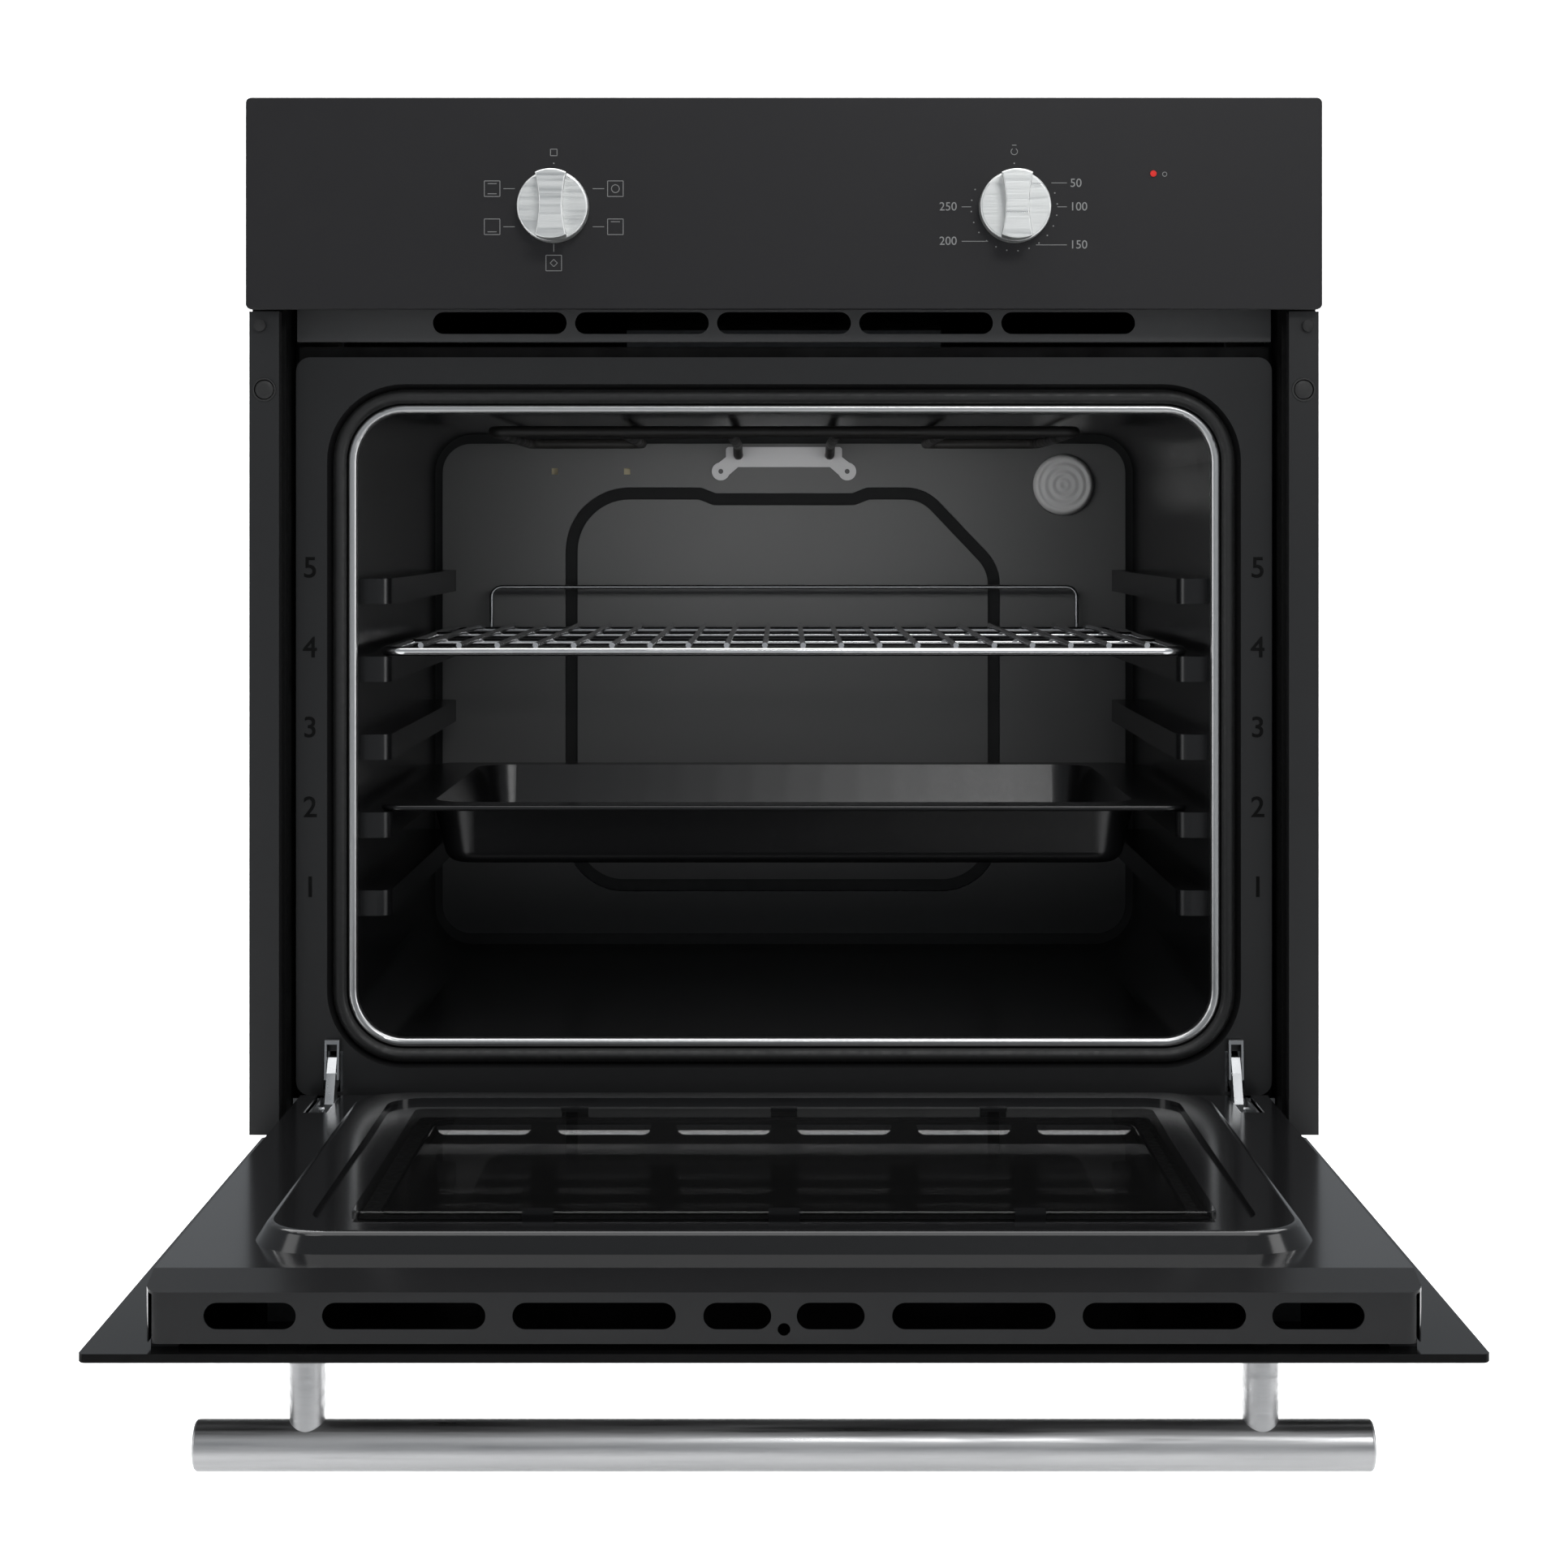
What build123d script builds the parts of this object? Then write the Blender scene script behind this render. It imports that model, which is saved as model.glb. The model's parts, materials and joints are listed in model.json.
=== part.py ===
"""Built-in wall oven, 600 mm class, modelled with its door open.

Row frame: +X to the user's right, +Y into the oven, +Z up. The origin is the centre of the
base's underside. Depths are measured rearwards from the face of the control panel.
All dimensions are in millimetres.
"""
from build123d import *
import math
import os

# ---- overall sizes ----------------------------------------------------------------------
PANEL_FACE_Y = -299.0        # row-frame Y of the control panel's face
HALF_WIDTH = 297.0           # control panel and door glass
FASCIA_BOTTOM = 460.5
FASCIA_TOP = 577.4
GLASS = 4.0                  # thickness of every pane
SHEET = 1.2                  # enamelled and galvanised sheet

# body behind the cabinet's face
BODY_HALF = 277.0
BODY_TOP = 573.0
BODY_FRONT = 22.0
BODY_REAR = 558.0
BASE_FRONT = 40.0

# front frame
COLUMN_INNER = 280.2
COLUMN_FACE = 10.0
COLUMN_FOOT = 3.0
SCREW_X = 288.4
SCREW_Z = 416.6
SCREW_HOLE = 2.75
CUP_RADIUS = 6.6
FRAME_TOP = 572.0
FLANGE_FACE = 20.8           # front of the mounting flange, where the columns end

# cavity
MOUTH_HALF = 241.0
MOUTH_BOTTOM = 52.0
MOUTH_TOP = 404.3
MOUTH_RADIUS = 27.0
PLATE_FACE = 38.0
STRIP_FACE = 36.0            # cooling-air outlet strip, clear of the closed door
SEAT_FACE = 44.0             # floor of the gasket channel
CAVITY_REAR = 443.0
PLATE_HALF = 275.0
PLATE_BOTTOM = 20.0
PLATE_TOP = 436.0

# shelf rails, rack and tray
RAIL_PITCH = 44.4
RAIL_TOP_1 = 133.3           # top face of the lowest rail
RAIL_HEIGHT = 14.4
RAIL_NOSE = 224.0            # half distance between facing rails
RAIL_FRONT = 57.0
RAIL_REAR = 425.0
RACK_LEVEL = 4
TRAY_LEVEL = 2
SLIDE_HALF = 231.0           # half width of the rack and the tray
RACK_FRONT = 58.0
RACK_REAR = 434.0
RACK_ROD = 5.4
RACK_WIRE = 3.2
RACK_WIRES = 20
RACK_WIRE_PITCH = 21.8
RACK_BAR = 4.0
RACK_BARS = (190.0, 321.0)   # depths of the cross bars
FENCE_Z = 299.0
TRAY_FRONT = 62.0
TRAY_REAR = 392.0
REST_GAP = 0.3               # clearance of the sliding pieces over the rails

# door, open: the hinge axis and the pane set everything else
HINGE_DEPTH = 25.2
HINGE_Z = 14.3
PANE_FACE_Z = -11.0
PANE_FRONT = -417.0
PANE_REAR = 57.0
TUB_HALF = 270.0
TUB_FRONT = -412.0
TUB_REAR = 22.0
TUB_FOOT_Z = -4.0
TUB_RIM_Z = 17.7
TUB_TOP_Z = 23.0
TUB_BEVEL = 22.0
ARM_X = 254.0
ARM_HALF = 2.5
LOCK_DEPTH = 33.0            # stud on the hinge arm that the locking clip turns on
LOCK_Z = 33.0
INNER_PANE_TOP = 34.5
WINDOW_HALF = 194.0
WINDOW_FRONT = -332.0
WINDOW_REAR = -81.0
PLATEAU_MID = -189.0         # middle depth of the raised field round the window

# controls
KNOB_X = 127.0
KNOB_Z = 516.5
KNOB_RADIUS = 19.6
LAMP_X = 203.7
LAMP_Z = 535.3

# handle
BAR_DEPTH = -378.0
BAR_Z = -56.5
BAR_RADIUS = 11.0
BAR_LENGTH = 509.0
POST_X = 206.0
POST_RADIUS = 7.75

# cavity fittings
LAMP_HOLE_X = 192.7
LAMP_HOLE_Z = 369.3
LAMP_RADIUS = 21.0
ELEMENT_ROD = 6.4
ROOF_ELEMENT_Z = 396.0
ELEMENT_LEGS = (-31.5, 31.5)   # X of the grill element's two legs in the back wall
ELEMENT_LEG_Z = 390.0

SIDES = (-1, 1)


# ---- helpers ----------------------------------------------------------------------------
def y(depth):
    """Row-frame Y of a depth behind the control panel's face."""
    return PANEL_FACE_Y + depth


def block(x0, x1, d0, d1, z0, z1):
    """A box between two X, two depths and two Z."""
    centre = Pos((x0 + x1) / 2, y((d0 + d1) / 2), (z0 + z1) / 2)
    return centre * Box(abs(x1 - x0), abs(d1 - d0), abs(z1 - z0))


def pair(x0, x1, d0, d1, z0, z1):
    """The same box on both sides."""
    return block(x0, x1, d0, d1, z0, z1) + block(-x1, -x0, d0, d1, z0, z1)


def rearward(outline, d0, d1, taper=0.0):
    """Extrudes an outline drawn in X and Z from depth d0 rearwards to d1."""
    plane = Plane(origin=(0, y(d0), 0), x_dir=(1, 0, 0), z_dir=(0, -1, 0))
    return extrude(plane * outline, amount=-(d1 - d0), taper=taper)


def upward(outline, z0, z1, taper=0.0):
    """Extrudes an outline drawn in X and depth from z0 up to z1."""
    return extrude(Pos(0, PANEL_FACE_Y, z0) * outline, amount=z1 - z0, taper=taper)


def sideways(points, x0, x1):
    """Extrudes a polygon of (depth, z) points from x0 to x1."""
    plane = Plane(origin=(x0, 0, 0), x_dir=(0, 1, 0), z_dir=(1, 0, 0))
    face = make_face(Polyline(*[(y(d), z) for d, z in points], close=True))
    return extrude(plane * face, amount=x1 - x0)


def front_rect(half, z0, z1, radius):
    """A rounded rectangle in X and Z, centred on X = 0."""
    return Pos(0, (z0 + z1) / 2) * RectangleRounded(2 * half, z1 - z0, radius)


def top_rect(half, d0, d1, radius):
    """A rounded rectangle in X and depth, centred on X = 0."""
    return Pos(0, (d0 + d1) / 2) * RectangleRounded(2 * half, d1 - d0, radius)


def mouth(grow=0.0):
    """The cavity's cross-section, grown all round."""
    return front_rect(
        MOUTH_HALF + grow, MOUTH_BOTTOM - grow, MOUTH_TOP + grow, MOUTH_RADIUS + grow
    )


def pin_y(x, z, radius, d0, d1):
    """A cylinder along Y."""
    return rearward(Pos(x, z) * Circle(radius), d0, d1)


def pin_x(x0, x1, depth, z, radius):
    """A cylinder along X."""
    return Pos((x0 + x1) / 2, y(depth), z) * Rot(0, 90, 0) * Cylinder(radius, x1 - x0)


def pin_z(x, depth, radius, z0, z1):
    """A cylinder along Z."""
    return Pos(x, y(depth), (z0 + z1) / 2) * Cylinder(radius, z1 - z0)


def long_slot(x, z, length, height, d0, d1):
    """An obround along X, cut along Y."""
    return rearward(Pos(x, z) * SlotOverall(length, height), d0, d1)


def rod_along(path, rod):
    """A round rod along straight and round edges: cylinders joined by parts of a torus."""
    pieces = []
    for edge in path.edges():
        section = Plane(origin=edge @ 0, z_dir=edge % 0) * Circle(rod / 2)
        if edge.geom_type == GeomType.LINE:
            pieces.append(extrude(section, amount=edge.length, dir=edge % 0))
        else:
            turn = Axis(edge.arc_center, (edge % 0).cross(edge % 1))
            angle = math.degrees(edge.length / edge.radius)
            pieces.append(revolve(section, axis=turn, revolution_arc=angle))
    return pieces[0] + pieces[1:]


def bent_rod(points, radius, rod):
    """A round rod along a polyline of (x, depth, z) points with rounded corners."""
    return rod_along(FilletPolyline(*[(x, y(d), z) for x, d, z in points], radius=radius), rod)


def mirrored(shape):
    return mirror(shape, about=Plane.YZ)


def both_sides(shape):
    """A right-hand piece and its mirror image, as two solids of one node."""
    return Compound(children=[shape, mirrored(shape)])


parts = {}


# ---- front frame ------------------------------------------------------------------------
def column():
    """Right-hand column: a channel that stands the fascia off the cabinet."""
    body = block(COLUMN_INNER, HALF_WIDTH - 0.3, COLUMN_FACE, FLANGE_FACE, COLUMN_FOOT, FASCIA_BOTTOM - 0.5)
    core = block(
        COLUMN_INNER + SHEET, HALF_WIDTH - 0.3 - SHEET, COLUMN_FACE + SHEET, FLANGE_FACE,
        COLUMN_FOOT + SHEET, FASCIA_BOTTOM - 0.5 - SHEET,
    )
    return body - core - pin_y(SCREW_X, SCREW_Z, CUP_RADIUS + 0.1, COLUMN_FACE - 1, COLUMN_FACE + SHEET)


def screw_cup():
    """Plastic cup that carries the cabinet screw's head inside the column."""
    cup = pin_y(SCREW_X, SCREW_Z, CUP_RADIUS, COLUMN_FACE - 0.4, FLANGE_FACE)
    bowl = pin_y(SCREW_X, SCREW_Z, CUP_RADIUS - 1.0, COLUMN_FACE - 0.4, 18.3)
    return cup - bowl - pin_y(SCREW_X, SCREW_Z, SCREW_HOLE, 17.0, 21.0)


def front_frame():
    """Mounting flange against the cabinet, with the collar that leads back to the body."""
    flange = rearward(
        front_rect(HALF_WIDTH - 0.3, COLUMN_FOOT, FRAME_TOP, 1.5), FLANGE_FACE, BODY_FRONT
    )
    collar_inner = COLUMN_INNER - 2 * SHEET
    flange -= block(-collar_inner, collar_inner, 20, 23, COLUMN_FOOT - 1, 462.0)
    flange -= block(-270, 270, 20, 23, 470, 566)
    collar_outer = collar_inner + SHEET
    collar = pair(collar_inner, collar_outer, BODY_FRONT, 60, COLUMN_FOOT, FRAME_TOP)
    collar += block(-collar_outer, collar_outer, BODY_FRONT, 60, FRAME_TOP - SHEET, FRAME_TOP)
    collar += pair(BODY_HALF - 3, collar_outer, 60 - SHEET, 60, COLUMN_FOOT, FRAME_TOP)
    for side in SIDES:
        flange -= pin_y(side * SCREW_X, SCREW_Z, SCREW_HOLE, 20, 23)
    return flange + collar


parts["columns"] = both_sides(column())
parts["screw_cups"] = both_sides(screw_cup())
parts["front_frame"] = front_frame()


# ---- cooling-air outlet under the control panel -------------------------------------------
def vent_strip():
    """Pressed strip with five outlet slots, and the lip that folds back under it."""
    face = block(-274, 274, STRIP_FACE, STRIP_FACE + SHEET, 444.6, 468.0)
    for n in range(-2, 3):
        face -= long_slot(n * 80.0, 455.2, 75.4, 12.4, STRIP_FACE - 1, STRIP_FACE + 2)
    lip = block(-274, 274, STRIP_FACE + SHEET, 44.0, 444.6, 444.6 + SHEET)
    return face + lip


parts["vent_strip"] = vent_strip()


def buffer_pads():
    """Rubber pads at the heads of the columns, where the closed pane lands."""
    return both_sides(pin_y(HALF_WIDTH - 6.5, 452.0, 3.2, 7.0, COLUMN_FACE))


parts["door_buffers"] = buffer_pads()


# ---- cavity -----------------------------------------------------------------------------
def cavity_front():
    """Enamelled front plate, with the gasket channel pressed into it round the mouth."""
    plate = rearward(front_rect(PLATE_HALF, PLATE_BOTTOM, PLATE_TOP, 8.0), PLATE_FACE, PLATE_FACE + SHEET)
    plate -= rearward(mouth(17.0), PLATE_FACE - 1, PLATE_FACE + 2)
    pan = rearward(mouth(18.0), PLATE_FACE, SEAT_FACE + SHEET, taper=26)
    pan -= rearward(mouth(18.0 - 1.4), PLATE_FACE, SEAT_FACE, taper=26)
    lip = rearward(mouth(5.6), 40.2, SEAT_FACE + SHEET) - rearward(mouth(0.0), 39, 47)
    front_edges = [e for e in lip.edges() if abs(e.center().Y - y(40.2)) < 0.01]
    lip = fillet(front_edges, 2.4)
    plate = plate + (pan - rearward(mouth(1.0), 37, 47)) + lip
    for side in SIDES:
        plate -= block(side * ARM_X - 5.5, side * ARM_X + 5.5, 37, 47, 22.0, 45.0)
    return plate


def gasket():
    """Tubular door seal seated in the channel."""
    centre, radius = 9.6, 3.8
    outer = rearward(mouth(centre + radius), SEAT_FACE - 2 * radius, SEAT_FACE)
    ring = outer - rearward(mouth(centre - radius), 30, 50)
    ring = fillet([e for e in ring.edges() if abs(e.center().Y - y(SEAT_FACE - 2 * radius)) < 0.01], 3.7)
    bore = rearward(mouth(centre + 1.9), 38.4, 42.2) - rearward(mouth(centre - 1.9), 38, 43)
    return ring - bore


def level_top(level):
    """Z of the top face of a rail."""
    return RAIL_TOP_1 + (level - 1) * RAIL_PITCH


def shelf_rail(level, inset):
    """One pressed rail of the right-hand wall, or its hollow when inset by the sheet."""
    top = level_top(level)
    root = MOUTH_HALF + SHEET / 2 + inset
    rail = block(
        RAIL_NOSE + inset, root, RAIL_FRONT + inset, RAIL_REAR - inset,
        top - RAIL_HEIGHT + inset, top - inset,
    )
    noses = [e for e in rail.edges().filter_by(Axis.Z) if e.center().X < RAIL_NOSE + 2]
    return fillet(noses, 8.0 - inset)


def cavity_shell():
    """Wrapped cavity liner: roof, floor, and both sides with five pressed rails each."""
    shell = rearward(mouth(SHEET), SEAT_FACE + SHEET, CAVITY_REAR)
    shell -= rearward(mouth(), SEAT_FACE, CAVITY_REAR + 1)
    for level in range(1, 6):
        rail, hollow = shelf_rail(level, 0.0), shelf_rail(level, SHEET)
        shell += rail + mirrored(rail)
        shell -= hollow + mirrored(hollow)
    return shell


GROOVE_LEFT, GROOVE_RIGHT = -146.6, 144.8
GROOVE_TOP, GROOVE_BOTTOM = 363.4, 93.0


def groove_line():
    """Centre line of the pressed groove in the back wall, in X and Z."""
    corners = [
        (GROOVE_LEFT, GROOVE_BOTTOM), (GROOVE_LEFT, GROOVE_TOP),
        (-58, GROOVE_TOP), (-48, GROOVE_TOP - 4), (48, GROOVE_TOP - 4), (58, GROOVE_TOP),
        (96, GROOVE_TOP), (GROOVE_RIGHT, 312), (GROOVE_RIGHT, GROOVE_BOTTOM),
    ]
    radii = [36, 40, 4, 4, 4, 4, 28, 28, 36]
    return FilletPolyline(*corners, radius=radii, close=True)


def grooved(width):
    """The groove as a closed band of that width."""
    line = groove_line()
    face = make_face(line)
    return offset(face, width / 2) - offset(face, -width / 2)


def cavity_back():
    """Back wall: a raised field with a pressed groove, and holes for what it carries."""
    raised, groove = 3.2, 4.0
    field = front_rect(235.6, 59.9, 397.7, 20.0)
    inner_field = front_rect(235.6 - SHEET, 59.9 + SHEET, 397.7 - SHEET, 20.0 - SHEET)
    wall = rearward(mouth(SHEET), CAVITY_REAR, CAVITY_REAR + SHEET)
    wall += rearward(field, CAVITY_REAR - raised, CAVITY_REAR + SHEET)
    wall -= rearward(inner_field, CAVITY_REAR - raised + SHEET, CAVITY_REAR + SHEET)
    field_face = CAVITY_REAR - raised
    wall += rearward(grooved(8.4 + 2 * SHEET), field_face + SHEET, field_face + groove + SHEET)
    wall -= rearward(grooved(8.4), field_face - 1, field_face + groove)
    wall -= pin_y(LAMP_HOLE_X, LAMP_HOLE_Z, LAMP_RADIUS + 0.3, 430, 460)
    for x in (-158.2, -108.3):
        wall -= block(x - 2.2, x + 2.2, 430, 460, 376.4, 380.8)
    for x in ELEMENT_LEGS:
        wall -= pin_y(x, ELEMENT_LEG_Z, ELEMENT_ROD / 2 + 0.4, 430, 460)
    return wall


parts["cavity_front_plate"] = cavity_front()
parts["door_gasket"] = gasket()
parts["cavity_shell"] = cavity_shell()
parts["cavity_back_wall"] = cavity_back()


# ---- heating elements ---------------------------------------------------------------------
def roof_element():
    """Grill element: one rod that leaves the back wall twice and loops under the roof."""
    x, z, leg = ELEMENT_LEGS[1], ROOF_ELEMENT_Z, ELEMENT_LEG_Z
    half = [
        (x, 462, leg), (x, 425, leg), (x, 408, z), (x, 140, z),
        (95, 140, z), (95, 380, z), (170, 380, z), (170, 100, z),
    ]
    route = half + [(-px, d, pz) for px, d, pz in reversed(half)]
    return bent_rod(route, 8.0, ELEMENT_ROD)


def element_plate():
    """Plate that carries the grill element's two legs on the back wall."""
    face_depth = CAVITY_REAR - 3.2
    bar = Pos(0, 388.5) * RectangleRounded(80, 13.8, 2)
    outline = bar
    for side in SIDES:
        outline += Pos(side * 43.6, 378.6) * Circle(6.2)
        outline += make_face(Polyline(
            (side * 38, 390), (side * 30, 383), (side * 41, 373.5), (side * 49, 381.5), close=True))
    plate = rearward(outline, face_depth - 2.0, face_depth)
    for x in ELEMENT_LEGS:
        plate -= pin_y(x, ELEMENT_LEG_Z, ELEMENT_ROD / 2 + 0.2, 430, 460)
    for x in (-43.6, 43.6):
        plate -= pin_y(x, 378.6, 1.7, 430, 460)
    return plate


def floor_element():
    """Bottom-heat element, between the cavity floor and the insulation."""
    z = 44.5
    half = [(40, 452, z), (40, 110, z), (110, 110, z), (110, 400, z), (180, 400, z), (180, 80, z)]
    return bent_rod(half + [(-x, d, zz) for x, d, zz in reversed(half)], 14.0, ELEMENT_ROD)


parts["roof_element"] = roof_element()
parts["element_plate"] = element_plate()
parts["floor_element"] = floor_element()


# ---- cavity lamp ----------------------------------------------------------------------------
def lamp_glass():
    """Screw-in glass cup over the bulb."""
    cup = pin_y(LAMP_HOLE_X, LAMP_HOLE_Z, LAMP_RADIUS, 434.0, 452.0)
    cup = fillet([e for e in cup.edges() if abs(e.center().Y - y(434.0)) < 0.01], 4.0)
    return cup - pin_y(LAMP_HOLE_X, LAMP_HOLE_Z, LAMP_RADIUS - 2.5, 437.0, 453.0)


def lamp_holder():
    """Steel and ceramic holder behind the back wall."""
    can = pin_y(LAMP_HOLE_X, LAMP_HOLE_Z, 26.0, 452.0, 488.0)
    can -= pin_y(LAMP_HOLE_X, LAMP_HOLE_Z, 18.5, 451.0, 480.0)
    return can + pin_y(LAMP_HOLE_X, LAMP_HOLE_Z, 9.0, 488.0, 500.0)


def lamp_bulb():
    globe = Pos(LAMP_HOLE_X, y(452.0), LAMP_HOLE_Z) * Sphere(11.0)
    return globe + pin_y(LAMP_HOLE_X, LAMP_HOLE_Z, 6.5, 452.0, 480.0)


parts["lamp_glass"] = lamp_glass()
parts["lamp_holder"] = lamp_holder()
parts["lamp_bulb"] = lamp_bulb()


# ---- insulation -----------------------------------------------------------------------------
def insulation_wrap():
    """Glass-wool blanket round the four sides of the cavity."""
    blanket = rearward(front_rect(268.0, 14.0, 432.0, 34.0), 62.0, 440.0)
    hollow = front_rect(MOUTH_HALF + 2.0, 36.0, MOUTH_TOP + 2.0, MOUTH_RADIUS)
    for side in SIDES:
        blanket -= block(side * ARM_X - 8, side * ARM_X + 8, 61, 94, 12, 48)
    return blanket - rearward(hollow, 60.0, 442.0)


def insulation_rear():
    slab = rearward(front_rect(262.0, 22.0, 428.0, 30.0), 449.0, 468.0)
    slab -= pin_y(LAMP_HOLE_X, LAMP_HOLE_Z, 27.0, 440, 470)
    for x in ELEMENT_LEGS:
        slab -= pin_y(x, ELEMENT_LEG_Z, 5.0, 440, 470)
    for x in (-40, 40):
        slab -= pin_y(x, 44.5, 5.0, 440, 470)
    return slab


parts["insulation_wrap"] = insulation_wrap()
parts["insulation_rear"] = insulation_rear()


# ---- casing ---------------------------------------------------------------------------------
def base_plate():
    """Floor of the casing, with an upturned front edge and two air slots on each side."""
    base = block(-BODY_HALF, BODY_HALF, BASE_FRONT, BODY_REAR, 0, SHEET)
    base += block(-BODY_HALF, BODY_HALF, BASE_FRONT, BASE_FRONT + SHEET, SHEET, 18.0)
    for side in SIDES:
        base -= block(side * 200 - 30, side * 200 + 30, 470, 476, -1, 2)
        base -= block(side * 200 - 30, side * 200 + 30, 490, 496, -1, 2)
    return base


def side_panel():
    """Right-hand side of the casing, with louvres beside the blower."""
    panel = block(BODY_HALF - SHEET, BODY_HALF, 60.2, BODY_REAR, SHEET, BODY_TOP - SHEET)
    for n in range(6):
        panel -= block(BODY_HALF - 3, BODY_HALF + 1, 380, 450, 460 + 12 * n, 465 + 12 * n)
    return panel


def top_cover():
    cover = block(-BODY_HALF, BODY_HALF, 60.2, BODY_REAR, BODY_TOP - SHEET, BODY_TOP)
    for n in range(9):
        cover -= block(-150, 150, 420 + 12 * n, 424 + 12 * n, BODY_TOP - 2, BODY_TOP + 1)
    return cover


def rear_panel():
    half = BODY_HALF - SHEET
    panel = block(-half, half, BODY_REAR - SHEET, BODY_REAR, SHEET, BODY_TOP - SHEET)
    for n in range(8):
        for side in SIDES:
            panel -= block(side * 150 - 60, side * 150 + 60, 550, 560, 60 + 14 * n, 64 + 14 * n)
    panel -= block(-215, -155, 550, 560, 470, 530)
    return panel


def casing_screws():
    """Screw heads along the casing's rear edges."""
    screws = []
    for x in (-265.0, -90.0, 90.0, 265.0):
        for z in (10.0, 563.0):
            head = pin_y(x, z, 3.5, BODY_REAR, BODY_REAR + 2.0)
            screws.append(fillet(head.edges().sort_by(Axis.Y)[-1], 1.2))
    return Compound(children=screws)


parts["casing_screws"] = casing_screws()
parts["base_plate"] = base_plate()
parts["side_panels"] = both_sides(side_panel())
parts["top_cover"] = top_cover()
parts["rear_panel"] = rear_panel()


# ---- mains terminal -------------------------------------------------------------------------
CORD_HOLE = 5.5


def terminal_box():
    """Moulded box let into the rear panel, with the hole for the mains cord's gland."""
    box = block(-214.8, -155.2, 530, 562, 470.2, 529.8) - block(-212, -158, 532.5, 559.5, 473, 527)
    return box - pin_y(-185, 479, CORD_HOLE, 558, 563)


def terminal_block():
    block_body = block(-206, -164, 534, 550, 486, 512)
    for n in range(3):
        block_body -= pin_y(-199 + 14 * n, 499, 3.0, 540, 551)
    return block_body


parts["terminal_box"] = terminal_box()
parts["terminal_block"] = terminal_block()


# ---- cooling blower -------------------------------------------------------------------------
BLOWER_DEPTH, BLOWER_Z, BLOWER_HALF = 330.0, 492.0, 95.0
ROTOR_RADIUS = 27.0


def blower_rotor():
    """Cross-flow rotor: end discs, blades and a shaft."""
    rotor = pin_x(-BLOWER_HALF, -BLOWER_HALF + 2, BLOWER_DEPTH, BLOWER_Z, ROTOR_RADIUS)
    rotor += pin_x(BLOWER_HALF - 2, BLOWER_HALF, BLOWER_DEPTH, BLOWER_Z, ROTOR_RADIUS)
    blades = 18
    for n in range(blades):
        blade = Pos(0, ROTOR_RADIUS - 5.5, 0) * Rot(25, 0, 0) * Box(2 * BLOWER_HALF - 3, 9.0, 1.0)
        rotor += Pos(0, y(BLOWER_DEPTH), BLOWER_Z) * Rot(360 / blades * n, 0, 0) * blade
    rotor += pin_x(-BLOWER_HALF - 8, BLOWER_HALF + 24, BLOWER_DEPTH, BLOWER_Z, 3.0)
    return rotor


def blower_housing():
    """Scroll round the rotor, which blows down into the duct."""
    d, z, half = BLOWER_DEPTH, BLOWER_Z, BLOWER_HALF + 6
    outer = pin_x(-half, half, d, z, 40.0) + block(-half, half, d - 40, d + 4, 444.0, z)
    inner = pin_x(-half + 2, half - 2, d, z, 38.5) + block(-half + 2, half - 2, d - 38.5, d + 2.5, 443.0, z)
    housing = outer - inner - block(-half + 2, half - 2, d + 8, d + 41, z - 6, z + 34)
    return housing - pin_x(-half - 1, half + 1, d, z, 3.05)


def blower_motor():
    x0 = BLOWER_HALF + 8
    motor = block(x0, x0 + 30, BLOWER_DEPTH - 26, BLOWER_DEPTH + 26, BLOWER_Z - 26, BLOWER_Z + 22)
    motor += pin_x(x0 + 30, x0 + 38, BLOWER_DEPTH, BLOWER_Z, 12.0)
    return motor - pin_x(x0 - 1, x0 + 20, BLOWER_DEPTH, BLOWER_Z, 3.05)


def air_duct():
    """Flat channel over the cavity, from the blower to the outlet strip."""
    roof = block(-250, 250, 44.2, 289, 466.8, 468.0)
    floor = block(-250, 250, 44.2, 372, 441.0, 442.2)
    floor += block(-274, 274, 44.2, 44.2 + SHEET, 432.6, 442.2)
    walls = pair(248.8, 250, 44.2, 289, 442.2, 466.8)
    taper = pair(101.2, 102.4, 287.8, 334, 442.2, 466.8)
    back = block(-248.8, -102.4, 287.8, 289, 442.2, 466.8) + block(102.4, 248.8, 287.8, 289, 442.2, 466.8)
    return roof + floor + walls + taper + back


parts["blower_rotor"] = blower_rotor()
parts["blower_housing"] = blower_housing()
parts["blower_motor"] = blower_motor()
parts["air_duct"] = air_duct()


# ---- control panel --------------------------------------------------------------------------
def fascia_glass():
    glass = rearward(front_rect(HALF_WIDTH, FASCIA_BOTTOM, FASCIA_TOP, 3.0), 0, GLASS)
    glass = chamfer([e for e in glass.edges() if abs(e.center().Y - y(0)) < 0.01], 0.5)
    for side in SIDES:
        glass -= pin_y(side * KNOB_X, KNOB_Z, 5.0, -1, GLASS + 1)
    return glass - pin_y(LAMP_X, LAMP_Z, 1.9, -1, GLASS + 1)


def fascia_carrier():
    """Folded steel tray that holds the fascia glass, the switches and the lamp."""
    tray = rearward(front_rect(292.0, 462.5, 575.5, 2.0), GLASS, FLANGE_FACE)
    tray -= block(-290.8, 290.8, GLASS + SHEET, 21, 463.7, 574.3)
    for side in SIDES:
        tray -= pin_y(side * KNOB_X, KNOB_Z, 5.0, 0, 10)
    tray -= pin_y(LAMP_X, LAMP_Z, 3.2, 0, 10)
    tray -= block(-275, 275, 15, 22, 462, 469)
    return tray


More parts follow.
